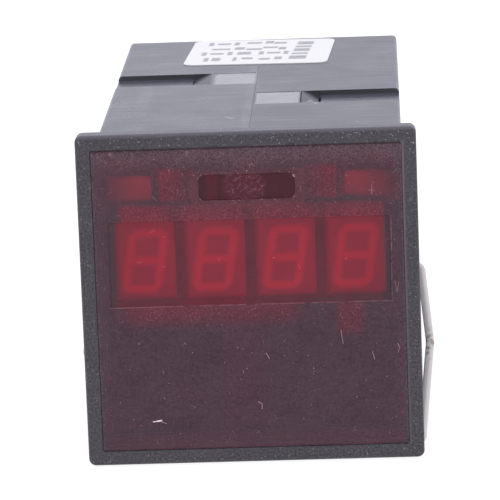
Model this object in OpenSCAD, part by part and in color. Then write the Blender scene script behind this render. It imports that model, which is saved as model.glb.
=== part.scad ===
// Electronic counter for a square panel cut-out, with a red window and a wire clamping bail.
// X runs to the right, Y to the rear and Z up. The origin is the centre of the front frame's
// rear face, so the plane Y = 0 is the front surface of the panel.

/* [Front frame] */
// Width and height of the square front frame
frame_w = 48; // [46:0.5:52]
// Thickness of the front frame
frame_t = 3; // [2.9:0.1:4]
// How far the frame stands out beyond the case at each side
side_overhang = 2; // [1.8:0.1:2.4]
// How far the frame stands out beyond the case above and below
top_overhang = 3; // [2.8:0.1:3.4]
// Radius of the frame's outer corners
frame_r = 1; // [0.6:0.1:2]
// Rounding of the frame's front edge
frame_edge_r = 0.5; // [0.2:0.1:0.6]
// Width of the rim that shows around the window
frame_border = 2.1; // [1.8:0.1:2.5]
// Width of the ledge that carries the window
ledge_w = 1; // [0.8:0.1:1.4]
// Depth of the seat in the frame's rear that takes the case's front end
seat_depth = 0.3; // [0.2:0.05:0.35]
// Width of each snap tongue behind the frame
tongue_w = 8; // [6:0.5:9]
// Length of each snap tongue
tongue_l = 8; // [7:0.1:8.4]
// Thickness of each snap tongue
tongue_t = 1.2; // [0.8:0.1:1.5]
// Height of the barb on each snap tongue
barb_h = 0.5; // [0.3:0.05:0.6]

/* [Window and mask] */
// Thickness of the red window
window_t = 2; // [1.6:0.1:2.1]
// Depth of the window below the frame's front
window_recess = 0.2; // [0.1:0.05:0.4]
// Gap between the window and its frame
window_gap = 0.05; // [0.05:0.05:0.2]
// Width of the clear field at the top centre of the window
field_w = 13.6; // [10:0.1:18]
// Height of the clear field
field_h = 3.7; // [3:0.1:4.5]
// Distance of the clear field's middle below the window's upper edge
field_top = 5.7; // [5:0.1:6]
// Depth of the clear field below the frosted surface
field_depth = 0.2; // [0.1:0.05:0.4]
// Depth of the display field below the frosted surface
display_depth = 0.12; // [0.05:0.01:0.3]
// Gap between the row of digits and the mask's opening at each end
display_edge = 0.6; // [0.3:0.1:0.7]
// Gap between the digits and the mask's opening above and below
display_gap = 0.45; // [0.3:0.05:0.9]

/* [Display] */
// Room between the row of digits' pitches and the case at each end
digit_margin = 0.5; // [0.3:0.1:1]
// Gap between two digit modules
digit_space = 1.4; // [1:0.1:2]
// Height of a digit module
digit_h = 11.5; // [11:0.1:12]
// Depth of a digit module
digit_depth = 7; // [6:0.1:8]
// Distance of the digits' middle below the case's roof
digit_top = 14.55; // [14.4:0.05:15.5]
// Distance of the digits' faces behind the panel plane
digit_y = 2; // [1.2:0.1:3]
// Margin above and below a figure on its module
figure_end = 1.2; // [1:0.05:1.7]
// Margin beside a figure on its module
figure_side = 1.75; // [1.5:0.05:2]
// Lean of a digit's figure in degrees
figure_lean = 7.5; // [0:0.5:10]
// Width of a segment
stroke = 1; // [0.7:0.05:1.2]
// Width of a signal lamp
lamp_w = 6.3; // [5:0.1:6.5]
// Height of a signal lamp
lamp_h = 3.7; // [3:0.1:4]
// Gap between a signal lamp and the case's side
lamp_side = 0.5; // [0.3:0.05:0.9]
// Distance of a signal lamp's middle below the case's roof
lamp_top = 4.2; // [3.8:0.1:4.4]

/* [Case] */
// Length of the case behind the panel plane
case_d = 95; // [88:1:110]
// Thickness of the shells' walls
wall = 1.5; // [1.4:0.1:1.7]
// Rounding of the case's long edges
case_r = 0.7; // [0.4:0.1:1]
// Length of the tongue that runs along the seam
seam_l = 1; // [0.6:0.1:1.4]
// Clearance between parts that snap or slide together
slip = 0.1; // [0.05:0.01:0.12]

/* [Channels in the case] */
// Width of each channel, along the case
channel_w = 9.8; // [8:0.1:11]
// Distance of the front channels' middle behind the panel plane
channel_front_y = 40.2; // [36:0.1:42]
// Distance of the rear channels' middle behind the panel plane
channel_rear_y = 58.2; // [54:0.1:62]
// Depth of each channel
channel_depth = 0.9; // [0.6:0.05:1]
// Distance of the channel's inner end from the seam
channel_end = 9.8; // [8.5:0.1:12]
// Depth of the ramp where it meets the channel
ramp_depth = 0.45; // [0.3:0.05:0.55]
// Distance of the ramp's upper end from the seam
ramp_end = 7.1; // [7:0.1:8]
// Distance of the smooth pad's far edge from the seam
pad_end = 6.85; // [6:0.05:6.9]
// Depth of the smooth pad
pad_depth = 0.05; // [0.05:0.05:0.2]
// Width of the slit through the wall at the foot of each ramp
slit_w = 0.25; // [0.2:0.05:0.4]
// Length of the slit
slit_l = 8; // [5:0.1:8]

/* [Boards and what they carry] */
// Thickness of the boards
board_t = 1.6; // [1:0.1:1.7]
// Distance of the side boards' inner faces from the case's sides
side_gap = 5.5; // [5.3:0.1:6]
// Length of the controller chip
chip_l = 32; // [24:0.5:36]
// Width of the controller chip
chip_w = 13.5; // [7:0.5:14]
// Length of the output relay
relay_l = 20; // [15:0.5:22]
// Width of the output relay
relay_w = 15.4; // [10:0.2:16]
// Height of the output relay
relay_h = 9.5; // [8:0.1:11]
// Length of the transformer's core
core_l = 30; // [26:1:32]
// Height of the transformer's core
core_h = 25; // [22:1:28]
// Diameter of a smoothing capacitor
can_d = 10; // [8:0.5:11]
// Length of a smoothing capacitor
can_l = 16; // [12:0.5:18]

/* [Terminals] */
// Terminals in each of the two rows
term_n = 6; // [4:1:6]
// Wall between two pockets
pocket_wall = 1; // [0.8:0.1:1.2]
// Wall beside the outermost pockets
block_rim = 1.8; // [1.5:0.1:2.2]
// Distance of a row of terminals from the block's upper or lower edge
term_edge = 8; // [7.5:0.1:8.5]
// Height of a terminal's pocket
pocket_h = 11; // [10:0.1:12]
// Depth of a terminal's pocket
pocket_d = 6; // [5:0.1:7]
// Depth of the terminal block
block_d = 14; // [13:0.5:16]
// Diameter of a terminal screw's shank
screw_d = 3; // [2.5:0.1:3.2]
// Gap between a terminal screw's head and its pocket
head_play = 0.4; // [0.3:0.05:0.6]

/* [Clamping bail] */
// Diameter of the spring wire
wire_d = 1.2; // [1:0.05:1.3]
// Radial clearance of the wire in its pivot holes
pivot_clear = 0.06; // [0.03:0.01:0.09]
// Distance of the pivots behind the panel plane
pivot_y = 15; // [14:0.1:17]
// Thickness of the panel that the bail's bar clamps at rest
panel_t = 2.1; // [2.05:0.05:4]
// Depth of the bail's bar below the case
bar_drop = 2.2; // [1.8:0.05:2.25]
// Gap between the case and the middle of the wire at the pivots
arm_gap = 1.9; // [1.5:0.05:2.2]
// Gap between the case and the middle of the wire where the arms bow out
bow_gap = 2.9; // [2.3:0.05:3]
// Gap between the case and the middle of the wire at the bar
bar_gap = 1.3; // [1.25:0.05:1.6]
// Place of the bow along an arm, as a share of its length
bow_place = 0.44; // [0.35:0.01:0.6]
// Side play: how far the bail sits towards the right
bail_shift = 0.4; // [0.4:0.05:0.55]

/* [Sticker] */
// Width of the sticker on the top
label_w = 23; // [15:0.5:30]
// Length of the sticker
label_l = 23.2; // [15:0.1:23.5]
// Thickness of the sticker
label_t = 0.12; // [0.08:0.01:0.2]
// Rounding of the sticker's corners
label_r = 1.8; // [0.5:0.1:3]
// Distance of the sticker from the case's rear end
label_gap = 1.2; // [0.8:0.1:4]
// Turn of the sticker in degrees
label_turn = -3; // [-4:0.5:4]

/* [Hidden] */
$fn = 48;

// Moulded colours
dark_grey = [0.21, 0.21, 0.23];
near_black = [0.07, 0.07, 0.08];

// The case, and its inside
case_w = frame_w - 2 * side_overhang;
case_h = frame_w - 2 * top_overhang;
in_w = case_w - 2 * wall;
in_h = case_h - 2 * wall;

// Window, its pocket in the frame and the mask behind it
pocket_side = frame_w - 2 * frame_border;
window_side = pocket_side - 2 * window_gap;
window_y = window_recess - frame_t;
window_back = window_y + window_t;
open_w = pocket_side - 2 * ledge_w;
open_h = open_w - 2 * (top_overhang - side_overhang);
mask_play = 0.1;
pocket_r = 0.35;
field_r = 1;
seat_y = -seat_depth;
field_z = window_side / 2 - field_top;

// The row of four digits, its figures and openings, and the lamps above it
digit_z = in_h / 2 - digit_top;
digit_pitch = (in_w - 2 * digit_margin) / 4;
digit_w = digit_pitch - digit_space;
figure_w = digit_w - 2 * figure_side;
figure_h = digit_h - 2 * figure_end;
figure_drop = 0.25;
segment_gap = 0.12;
segment_proud = 0.05;
display_w = 3 * digit_pitch + digit_w + 2 * display_edge;
display_h = digit_h + 2 * display_gap;
display_rise = 0.25;
mask_drop = 0.15;
lamp_r = 0.7;
lamp_x = in_w / 2 - lamp_side - lamp_w / 2;
lamp_z = in_h / 2 - lamp_top;
lamp_gap_in = 0.85;
lamp_gap_z = 0.6;
lamp_rise = 0.6;

// Snap tongues: their middle and the pockets that take their barbs
tongue_x0 = 1.8;
tongue_x = tongue_x0 + tongue_w / 2;
tongue_top = in_h / 2 - slip;
barb_l = 2;
barb_end = 0.5;
barb_y = tongue_l - barb_l - barb_end;

// Boards: the display board behind the digits, the terminal board before the block
board_y = digit_y + digit_depth;
board_back = board_y + board_t;
block_sunk = 0.5;
block_back = case_d - block_sunk;
block_y = block_back - block_d;
side_board_x = in_w / 2 - side_gap;
link_w = 2.5;
link_h = 28;
guide_w = 0.9;
guide_h = 2;
guide_play = slip / 2;
guide_end = 4;

// Parts on the side boards: their room from front to rear, pins, sizes and places
part_gap = 1;
parts_y0 = board_back + link_w + part_gap;
parts_y1 = block_y - board_t - part_gap;
parts_z = in_h / 2 - guide_h - part_gap;
pin_pitch = 2.54;
pin_groove = 0.6;
leg_w = 0.5;
chip_stand = 0.5;
chip_h = 4;
chip_z = -3;
notch_d = 2.4;
notch_t = 0.5;
crystal_l = 11.2;
crystal_w = 4.6;
crystal_h = 3.5;
crystal_z = chip_z + chip_w / 2 + 2 * part_gap + crystal_w / 2;
coupler_l = 7.6;
coupler_w = 6.5;
coupler_z = parts_z - coupler_w / 2;
relay_y = parts_y1 - relay_l / 2;
relay_z = -parts_z + relay_w / 2;
relay_edge = 0.8;
core_y = parts_y1 - core_l / 2;
core_leg = core_l / 6;
coil_gap = 2.5;
coil_side = 3.5;
coil_play = 0.1;
coil_t = 2 * side_board_x - relay_h - coil_gap;
coil_x0 = side_board_x - coil_t;
can_z = parts_z - can_d / 2;
vent_w = 0.5;
vent_edge = 1;
reg_w = 10;
reg_l = 9;
reg_h = 4.4;
tab_l = 6.5;
tab_t = 1.3;
tab_hole_d = 3.6;
tab_hole_z = 3.5;

// Terminal block: keys on its edges, bores for the screws and slots for the tails
key_in = 3;
key_out = 3.5;
key_x = [key_in, in_w / 2 - key_out];
key_y = block_y + 3.5;
key_l = 1.4;
key_h = 0.6;
pocket_w = (in_w - 2 * block_rim - (term_n - 1) * pocket_wall) / term_n;
term_pitch = pocket_w + pocket_wall;
term_z = in_h / 2 - term_edge;
floor_y = block_back - pocket_d;
plate_t = 0.8;
plate_play = 0.3;
plate_w = pocket_w - 2 * plate_play;
contact_h = pocket_h - 1.5;
screw_head_d = pocket_w - 2 * head_play;
tail_off = 3.5;
tail_w = 1;
tail_t = 0.8;
tail_hole_d = 1.4;
screw_head_h = 2;
screw_edge = 0.4;
screw_slot_w = 0.8;
screw_slot_d = 0.9;
screw_l = 4;
bore_end = 0.5;
bore_play = 0.1;
rib_rim = 3;
rib_gap = 1.2;
rib_d = 0.6;
head_y = floor_y + 2 * plate_t;

// Bail: its bar seen from the pivots, and the length of its arms
bar_y = panel_t + wire_d / 2;
bar_z = -case_h / 2 - bar_drop;
arm_l = norm([bar_y - pivot_y, bar_z]);
boss_h = 1;
boss_d = 5.2;
pivot_short = 0.4;
pivot_end = in_w / 2 - boss_h + pivot_short;
bail_points = [
    [-pivot_end, 0],
    [-case_w / 2 - arm_gap, 0],
    [-case_w / 2 - bow_gap, arm_l * bow_place],
    [-case_w / 2 - bar_gap, arm_l],
    [case_w / 2 + bar_gap, arm_l],
    [case_w / 2 + bow_gap, arm_l * bow_place],
    [case_w / 2 + arm_gap, 0],
    [pivot_end, 0]
];
bail_bends = [0, 1, 2.5, 1, 1, 2.5, 1, 0];
bend_swell = 0.03;
bend_lap = 0.1;

// A flat shape in X and Z, made solid from y0 to y1
module slab(y0, y1) {
    translate([0, y1, 0])
        rotate([90, 0, 0])
            linear_extrude(y1 - y0)
                children();
}

// A rectangle with round corners
module round_rect(w, h, r) {
    square([w - 2 * r, h], center = true);
    square([w, h - 2 * r], center = true);
    for (sx = [-1, 1], sz = [-1, 1])
        translate([sx * (w / 2 - r), sz * (h / 2 - r)])
            circle(r);
}

// A box between two values on each axis
module box(x, y, z) {
    translate([x[0], y[0], z[0]])
        cube([x[1] - x[0], y[1] - y[0], z[1] - z[0]]);
}

// A round bar along Y
module bar_along_y(y0, y1, d) {
    translate([0, y1, 0])
        rotate([90, 0, 0])
            cylinder(h = y1 - y0, d = d);
}

// A round bar along X
module bar_along_x(x0, x1, d) {
    translate([x0, 0, 0])
        rotate([0, 90, 0])
            cylinder(h = x1 - x0, d = d);
}

// The front frame: rounded rim, window pocket, ledge, seat for the case and four snap tongues
module front_frame() {
    color(dark_grey) {
        difference() {
            hull()
                for (a = [0 : 22.5 : 90])
                    slab(-frame_t + frame_edge_r * (1 - sin(a)), 0)
                        round_rect(
                            frame_w - 2 * frame_edge_r * (1 - cos(a)),
                            frame_w - 2 * frame_edge_r * (1 - cos(a)),
                            frame_r, $fn = 32
                        );
            slab(-frame_t - 1, window_back)
                round_rect(pocket_side, pocket_side, pocket_r);
            slab(-frame_t, 1)
                difference() {
                    square([open_w, open_h], center = true);
                    ledge_tabs(0);
                }
            slab(seat_y, 1)
                round_rect(case_w + 2 * slip, case_h + 2 * slip, case_r);
        }
        for (sx = [-1, 1], sz = [-1, 1])
            scale([sx, 1, sz])
                snap_tongue();
    }
}

// The four tabs of the ledge from which the snap tongues spring, grown by a play
module ledge_tabs(play) {
    z0 = tongue_top - tongue_t - play;
    for (sx = [-1, 1], sz = [-1, 1])
        translate([sx * tongue_x, sz * (z0 + open_h) / 2])
            square([tongue_w + 2 * play, open_h - z0], center = true);
}

// One snap tongue: a flat spring with a wedge-shaped barb near its end
module snap_tongue() {
    top = tongue_top;
    x0 = tongue_x - tongue_w / 2;
    box([x0, x0 + tongue_w], [(window_back + seat_y) / 2, tongue_l], [top - tongue_t, top]);
    translate([x0, 0, 0])
        rotate([90, 0, 90])
            linear_extrude(tongue_w)
                polygon([
                    [barb_y, top],
                    [barb_y, top + barb_h],
                    [barb_y + barb_l, top]
                ]);
}

// The red window, with a shallow display field and the clear field above it
module front_window() {
    color([0.45, 0.06, 0.08, 0.6])
        difference() {
            slab(window_y, window_back)
                round_rect(window_side, window_side, pocket_r - window_gap);
            translate([0, 0, digit_z + display_rise])
                slab(window_y - 1, window_y + display_depth)
                    square([display_w, display_h], center = true);
            translate([0, 0, field_z])
                slab(window_y - 1, window_y + field_depth)
                    round_rect(field_w, field_h, field_r);
        }
}

// The mask: closed behind the clear field, open at the digits and the lamps
module display_mask() {
    color(near_black)
        slab(window_back, seat_y)
            difference() {
                square([open_w - 2 * mask_play, open_h - 2 * mask_play], center = true);
                ledge_tabs(mask_play);
                translate([0, digit_z - mask_drop])
                    square([display_w, display_h], center = true);
                for (sx = [-1, 1])
                    translate([sx * (lamp_x - lamp_gap_in / 2), lamp_z + lamp_rise])
                        square([lamp_w + lamp_gap_in, lamp_h + 2 * lamp_gap_z], center = true);
            }
}

// One digit module of the display, counted from the left
module digit_body(n) {
    color([0.5, 0.08, 0.1])
        translate([(n - 2.5) * digit_pitch, 0, digit_z])
            slab(digit_y, board_y)
                square([digit_w, digit_h], center = true);
}

// The outline of one segment, leaning with the figure: middle, half length and direction
module segment(mid, half, upright) {
    t = stroke / 2;
    ends = [[-half, 0], [t - half, t], [half - t, t], [half, 0], [half - t, -t], [t - half, -t]];
    polygon([
        for (p = ends)
            let (q = mid + (upright ? [p[1], p[0]] : p))
                [q[0] + q[1] * tan(figure_lean), q[1]]
    ]);
}

// The seven segments of one digit, standing a hair proud of the module's face
module digit_segments(n) {
    a = (figure_w - stroke) / 2;
    b = (figure_h - stroke) / 2;
    color([0.62, 0.1, 0.14])
        translate([(n - 2.5) * digit_pitch, 0, digit_z - figure_drop])
            slab(digit_y - segment_proud, digit_y) {
                for (k = [-1, 0, 1])
                    segment([0, k * b], a - segment_gap, false);
                for (sx = [-1, 1], sz = [-1, 1])
                    segment([sx * a, sz * b / 2], b / 2 - segment_gap, true);
            }
}

// A signal lamp with round corners, standing on the display board
module signal_lamp(side) {
    color([0.6, 0.1, 0.13])
        translate([side * lamp_x, 0, lamp_z])
            slab(digit_y, board_y)
                round_rect(lamp_w, lamp_h, lamp_r);
}

// The board that carries the digits and the lamps
module display_board() {
    color([0.1, 0.3, 0.16])
        slab(board_y, board_back)
            square([in_w - 2 * slip, in_h], center = true);
}

// A board along one side of the case, between the display board and the terminal board
module side_board(side) {
    x0 = side > 0 ? side_board_x : -side_board_x - board_t;
    color([0.1, 0.3, 0.16])
        box([x0, x0 + board_t], [board_back, block_y - board_t], [-in_h / 2, in_h / 2]);
}

// The board behind the terminals, drilled for their tails
module terminal_board() {
    color([0.1, 0.3, 0.16])
        difference() {
            slab(block_y - board_t, block_y)
                square([in_w - 2 * slip, in_h], center = true);
            at_terminals(tail_off)
                bar_along_y(block_y - board_t - 1, block_y + 1, tail_hole_d);
        }
}

// The strips that join the display board to the side boards
module board_links() {
    color(near_black)
        for (sx = [-1, 1])
            scale([sx, 1, 1])
                difference() {
                    box(
                        [side_board_x - link_w, side_board_x],
                        [board_back, board_back + link_w],
                        [-link_h / 2, link_h / 2]
                    );
                    for (k = [-5 : 4])
                        translate([side_board_x - link_w, board_back + link_w, (k + 0.5) * pin_pitch])
                            rotate([0, 0, 45])
                                cube([pin_groove, pin_groove, leg_w], center = true);
                }
}

// A flat chip on the logic board: its body and two rows of legs
module chip(y0, length, z_mid, width) {
    legs = floor(length / pin_pitch);
    leg_y0 = y0 + (length - (legs - 1) * pin_pitch) / 2;
    box(
        [-side_board_x + chip_stand, -side_board_x + chip_h],
        [y0, y0 + length],
        [z_mid - width / 2, z_mid + width / 2]
    );
    for (k = [0 : legs - 1], sz = [-1, 1])
        translate([0, leg_y0 + k * pin_pitch, z_mid + sz * width / 2])
            box(
                [-side_board_x, -side_board_x + chip_stand + leg_w],
                [-leg_w / 2, leg_w / 2],
                [-leg_w / 2, leg_w / 2]
            );
}

// The controller chip, with the notch that marks its first pin's end
module microcontroller() {
    color(near_black)
        difference() {
            chip(parts_y0, chip_l, chip_z, chip_w);
            translate([-side_board_x + chip_h, parts_y0, chip_z])
                bar_along_x(-notch_t, notch_t, notch_d);
        }
}

// The crystal can that clocks the controller, lying flat beside it
module crystal() {
    mid = (crystal_l - crystal_w) / 2;
    color([0.75, 0.75, 0.76])
        translate([-side_board_x, parts_y0 + chip_l / 2, crystal_z])
            rotate([0, 90, 0])
                linear_extrude(crystal_h)
                    union() {
                        for (sy = [-1, 1])
                            translate([0, sy * mid])
                                circle(crystal_w / 2);
                        square([crystal_w, 2 * mid], center = true);
                    }
}

// Two couplers that take the counting and reset pulses
module input_couplers() {
    color([0.9, 0.9, 0.88])
        for (k = [-1, 0])
            chip(relay_y + k * coupler_l + (k + 0.5) * part_gap, coupler_l, coupler_z, coupler_w);
}

// The output relay in its sealed case, with bevelled upright edges
module output_relay() {
    color([0.12, 0.25, 0.5])
        translate([-side_board_x, relay_y, relay_z])
            difference() {
                box([0, relay_h], [-relay_l / 2, relay_l / 2], [-relay_w / 2, relay_w / 2]);
                for (sy = [-1, 1], sz = [-1, 1])
                    translate([relay_h / 2, sy * relay_l / 2, sz * relay_w / 2])
                        rotate([45, 0, 0])
                            cube([2 * relay_h, relay_edge, relay_edge], center = true);
            }
}

// The transformer's laminated core with its two winding windows
module transformer_core() {
    color([0.35, 0.34, 0.33])
        translate([coil_x0 + coil_side, core_y, 0])
            rotate([90, 0, 90])
                linear_extrude(coil_t - 2 * coil_side)
                    difference() {
                        square([core_l, core_h], center = true);
                        for (sy = [-1, 1])
                            translate([sy * core_leg * 1.5, 0])
                                square([core_leg, core_h - 2 * core_leg], center = true);
                    }
}

// The transformer's winding: it fills the core's windows and stands on the power board
module transformer_winding() {
    half_y = 2 * core_leg - coil_play;
    half_z = core_h / 2 - core_leg - coil_play;
    hole_y = core_leg + coil_play;
    color([0.78, 0.62, 0.2])
        translate([0, core_y, 0])
            difference() {
                box([coil_x0, side_board_x], [-half_y, half_y], [-half_z, half_z]);
                box(
                    [coil_x0 + coil_side - coil_play, side_board_x - coil_side + coil_play],
                    [-hole_y, hole_y],
                    [-core_h, core_h]
                );
            }
}

// Two electrolytic cans on the power board, with a cross-shaped vent in the end
module smoothing_capacitors() {
    color([0.12, 0.13, 0.2])
        for (k = [0, 1])
            translate([0, parts_y0 + can_d / 2 + k * (can_d + part_gap), can_z])
                difference() {
                    bar_along_x(side_board_x - can_l, side_board_x, can_d);
                    for (a = [0, 90])
                        translate([side_board_x - can_l, 0, 0])
                            rotate([a, 0, 0])
                                cube([vent_w, vent_w, can_d - 2 * vent_edge], center = true);
                }
}

// The voltage regulator with its metal tab
module voltage_regulator() {
    color([0.15, 0.15, 0.16])
        translate([side_board_x, parts_y0 + reg_w / 2, -parts_z]) {
            box([-reg_h, 0], [-reg_w / 2, reg_w / 2], [0, reg_l]);
            difference() {
                box([-tab_t, 0], [-reg_w / 2, reg_w / 2], [reg_l, reg_l + tab_l]);
                translate([0, 0, reg_l + tab_hole_z])
                    bar_along_x(-2 * tab_t, tab_t, tab_hole_d);
            }
        }
}

// One half of the case, drawn as the right half. The left half is the same moulding turned
// half a turn about the long axis, so its channels lie the other way round.
module half_shell() {
    difference() {
        union() {
            slab(seat_y, case_d)
                shell_profile();
            translate([0, pivot_y, 0])
                bar_along_x(in_w / 2 - boss_h, in_w / 2 + wall / 2, boss_d);
            for (sz = [-1, 1], side = [0, 1])
                board_guide(sz, side);
        }
        translate([0, pivot_y, 0])
            bar_along_x(in_w / 2 - boss_h - 1, case_w / 2 + 1, wire_d + 2 * pivot_clear);
        channel(channel_front_y);
        scale([1, 1, -1])
            channel(channel_rear_y);
        for (sz = [-1, 1])
            scale([1, 1, sz])
                snap_seats();
    }
}

// The shell's cross-section: wall, seam tongue above, seam rebate below and the seam's groove
module shell_profile() {
    half_w = case_w / 2;
    lap = wall / 2;
    groove = 0.05;
    difference() {
        union() {
            intersection() {
                round_rect(case_w, case_h, case_r);
                translate([0, -case_h / 2])
                    square([half_w, case_h]);
            }
            translate([-seam_l, in_h / 2])
                square([seam_l + 0.5, lap - slip / 2]);
        }
        translate([-seam_l - 1, -in_h / 2])
            square([in_w / 2 + seam_l + 1, in_h]);
        translate([-1, -in_h / 2 - lap])
            square([seam_l + slip + 1, lap + 0.1]);
        for (sz = [-1, 1])
            polygon([
                [-0.1, sz * (case_h / 2 + 0.1)],
                [groove + 0.1, sz * (case_h / 2 + 0.1)],
                [-0.1, sz * (case_h / 2 - groove - 0.1)]
            ]);
    }
}

// A rib beside a side board, on the floor or the roof of the shell
module board_guide(sz, side) {
    x0 = side_board_x + (side > 0 ? board_t + guide_play : -guide_w - guide_play);
    z0 = sz > 0 ? in_h / 2 - guide_h : -in_h / 2 - 0.2;
    y0 = board_back + guide_end;
    y1 = block_y - board_t - guide_end;
    box([x0, x0 + guide_w], [y0, y1], [z0, z0 + guide_h + 0.2]);
}

// One channel in the roof: the slot that opens to the side, its ramp, slit and smooth pad
module channel(mid_y) {
    top = case_h / 2;
    y0 = mid_y - channel_w / 2;
    y1 = mid_y + channel_w / 2;
    box([channel_end, case_w], [y0, y1], [top - channel_depth, top + 1]);
    box([0.3, pad_end], [y0, y1], [top - pad_depth, top + 1]);
    box(
        [channel_end, channel_end + slit_w],
        [mid_y - slit_l / 2, mid_y + slit_l / 2],
        [in_h / 2 - 1, top]
    );
    slab(y0, y1)
        polygon([
            [channel_end + 0.1, top - ramp_depth],
            [channel_end, top - ramp_depth],
            [ramp_end, top],
            [ramp_end, top + 1],
            [channel_end + 0.1, top + 1]
        ]);
}

// The blind seats in the roof for a snap tongue's barb and for the terminal block's key
module snap_seats() {
    z0 = in_h / 2 - 0.1;
    z1 = in_h / 2 + key_h + slip;
    x0 = tongue_x - tongue_w / 2 - slip;
    x1 = tongue_x + tongue_w / 2 + slip;
    box([x0, x1], [barb_y - slip, barb_y + barb_l + slip], [z0, z1]);
    box([key_x[0] - slip, key_x[1] + slip], [key_y - slip, key_y + key_l + slip], [z0, z1]);
}

module right_shell() {
    color(dark_grey)
        half_shell();
}

module left_shell() {
    color(dark_grey)
        rotate([0, 180, 0])
            half_shell();
}

// Repeats its children at each terminal, moved outwards from the screw's axis by off
module at_terminals(off = 0) {
    for (k = [0 : term_n - 1], sz = [-1, 1])
        translate([(k - (term_n - 1) / 2) * term_pitch, 0, sz * (term_z + off)])
            children();
}

// The terminal block: two rows of pockets, bores for the screws, slots for the tails and keys
module terminal_block() {
    color(near_black)
        difference() {
            union() {
                slab(block_y, block_back)
                    square([in_w, in_h], center = true);
                for (sx = [-1, 1], sz = [-1, 1])
                    scale([sx, 1, sz])
                        box(
                            key_x,
                            [key_y, key_y + key_l],
                            [in_h / 2 - 0.2, in_h / 2 + key_h]
                        );
            }
            at_terminals()
                slab(floor_y, case_d)
                    square([pocket_w, pocket_h], center = true);
            at_terminals()
                bar_along_y(floor_y - screw_l - bore_end, floor_y + 1, screw_d + 2 * bore_play);
            at_terminals(tail_off)
                bar_along_y(block_y - 1, floor_y + 1, tail_hole_d);
            slab(block_back - rib_d, case_d)
                square([in_w - 2 * rib_rim, 2 * (term_z - pocket_h / 2 - rib_gap)], center = true);
        }
}

// The contacts: a drilled plate on each pocket's floor, with a tail to the terminal board
module terminal_contacts() {
    color([0.78, 0.66, 0.36]) {
        at_terminals()
            difference() {
                slab(floor_y, floor_y + plate_t)
                    square([plate_w, contact_h], center = true);
                bar_along_y(floor_y - 1, floor_y + plate_t + 1, screw_d + bore_play);
            }
        at_terminals(tail_off)
            slab(block_y - board_t, floor_y + plate_t / 2)
                square([tail_w, tail_t], center = true);
    }
}

// The clamp plates that press a wire onto its contact
module clamp_plates() {
    color([0.72, 0.72, 0.7])
        at_terminals()
            difference() {
                slab(floor_y + plate_t, floor_y + 2 * plate_t)
                    round_rect(plate_w, plate_w, 0.5);
                bar_along_y(floor_y, head_y + 1, screw_d + 2 * bore_play);
            }
}

// The terminal screws: slotted pan heads
module terminal_screws() {
    color([0.78, 0.78, 0.77])
        at_terminals()
            difference() {
                union() {
                    bar_along_y(floor_y - screw_l, head_y, screw_d);
                    bar_along_y(head_y, head_y + screw_head_h - screw_edge, screw_head_d);
                    translate([0, head_y + screw_head_h - screw_edge, 0])
                        rotate([-90, 0, 0])
                            cylinder(h = screw_edge, d1 = screw_head_d, d2 = screw_head_d - 2 * screw_edge);
                }
                translate([0, head_y + screw_head_h, 0])
                    cube([screw_head_d + 1, 2 * screw_slot_d, screw_slot_w], center = true);
            }
}

function unit(v) = v / norm(v);
function turn_at(p, i) =
    let (u = unit(p[i] - p[i - 1]), v = unit(p[i + 1] - p[i]))
        atan2(u[0] * v[1] - u[1] * v[0], u * v);
function set_back(p, r, i) =
    i == 0 || i == len(p) - 1 ? 0 : r[i] * tan(abs(turn_at(p, i)) / 2);

// A round wire in the XY plane: straight lengths that run into a true bend at each corner,
// where the wire is swollen a hair by bending
module bent_wire(p, r, d) {
    for (i = [0 : len(p) - 2])
        let (
            v = unit(p[i + 1] - p[i]),
            lap_a = i == 0 ? 0 : bend_lap,
            lap_b = i == len(p) - 2 ? 0 : bend_lap,
            a = p[i] + v * (set_back(p, r, i) - lap_a),
            b = p[i + 1] - v * (set_back(p, r, i + 1) - lap_b)
        )
            translate([a[0], a[1], 0])
                rotate([0, 0, atan2(v[1], v[0])])
                    bar_along_x(0, norm(b - a), d);
    for (i = [1 : len(p) - 2])
        let (
            u = unit(p[i] - p[i - 1]),
            t = turn_at(p, i),
            s = sign(t),
            c = p[i] - u * set_back(p, r, i) + s * r[i] * [-u[1], u[0]],
            from = atan2(-s * u[0], s * u[1])
        )
            translate([c[0], c[1], 0])
                rotate([0, 0, t > 0 ? from : from + t])
                    rotate_extrude(angle = abs(t))
                        translate([r[i], 0])
                            circle(d = d + bend_swell);
}

// The clamping bail: two bowed arms on pivots in the case and a bar below it, behind the panel
module clamping_bail() {
    color([0.75, 0.75, 0.74])
        translate([bail_shift, pivot_y, 0])
            rotate([atan2(bar_z, bar_y - pivot_y), 0, 0])
                bent_wire(bail_points, bail_bends, wire_d);
}

// The sticker on the roof, across the seam
module top_label() {
    color([0.93, 0.93, 0.92])
        translate([-0.15, case_d - label_gap - label_l / 2, case_h / 2])
            rotate([0, 0, label_turn])
                linear_extrude(label_t)
                    round_rect(label_w, label_l, label_r);
}

front_frame();
front_window();
display_mask();
digit_body(1);  // digit_1
digit_body(2);  // digit_2
digit_body(3);  // digit_3
digit_body(4);  // digit_4
digit_segments(1);  // digit_1_segments
digit_segments(2);  // digit_2_segments
digit_segments(3);  // digit_3_segments
digit_segments(4);  // digit_4_segments
signal_lamp(-1);  // lamp_left
signal_lamp(1);  // lamp_right
display_board();
side_board(-1);  // logic_board
side_board(1);  // power_board
terminal_board();
board_links();
microcontroller();
crystal();
input_couplers();
output_relay();
transformer_core();
transformer_winding();
smoothing_capacitors();
voltage_regulator();
left_shell();
right_shell();
terminal_block();
terminal_contacts();
clamp_plates();
terminal_screws();
clamping_bail();
top_label();
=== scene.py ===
from math import cos, radians, sin, tan

import bpy
from mathutils import Matrix

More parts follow.
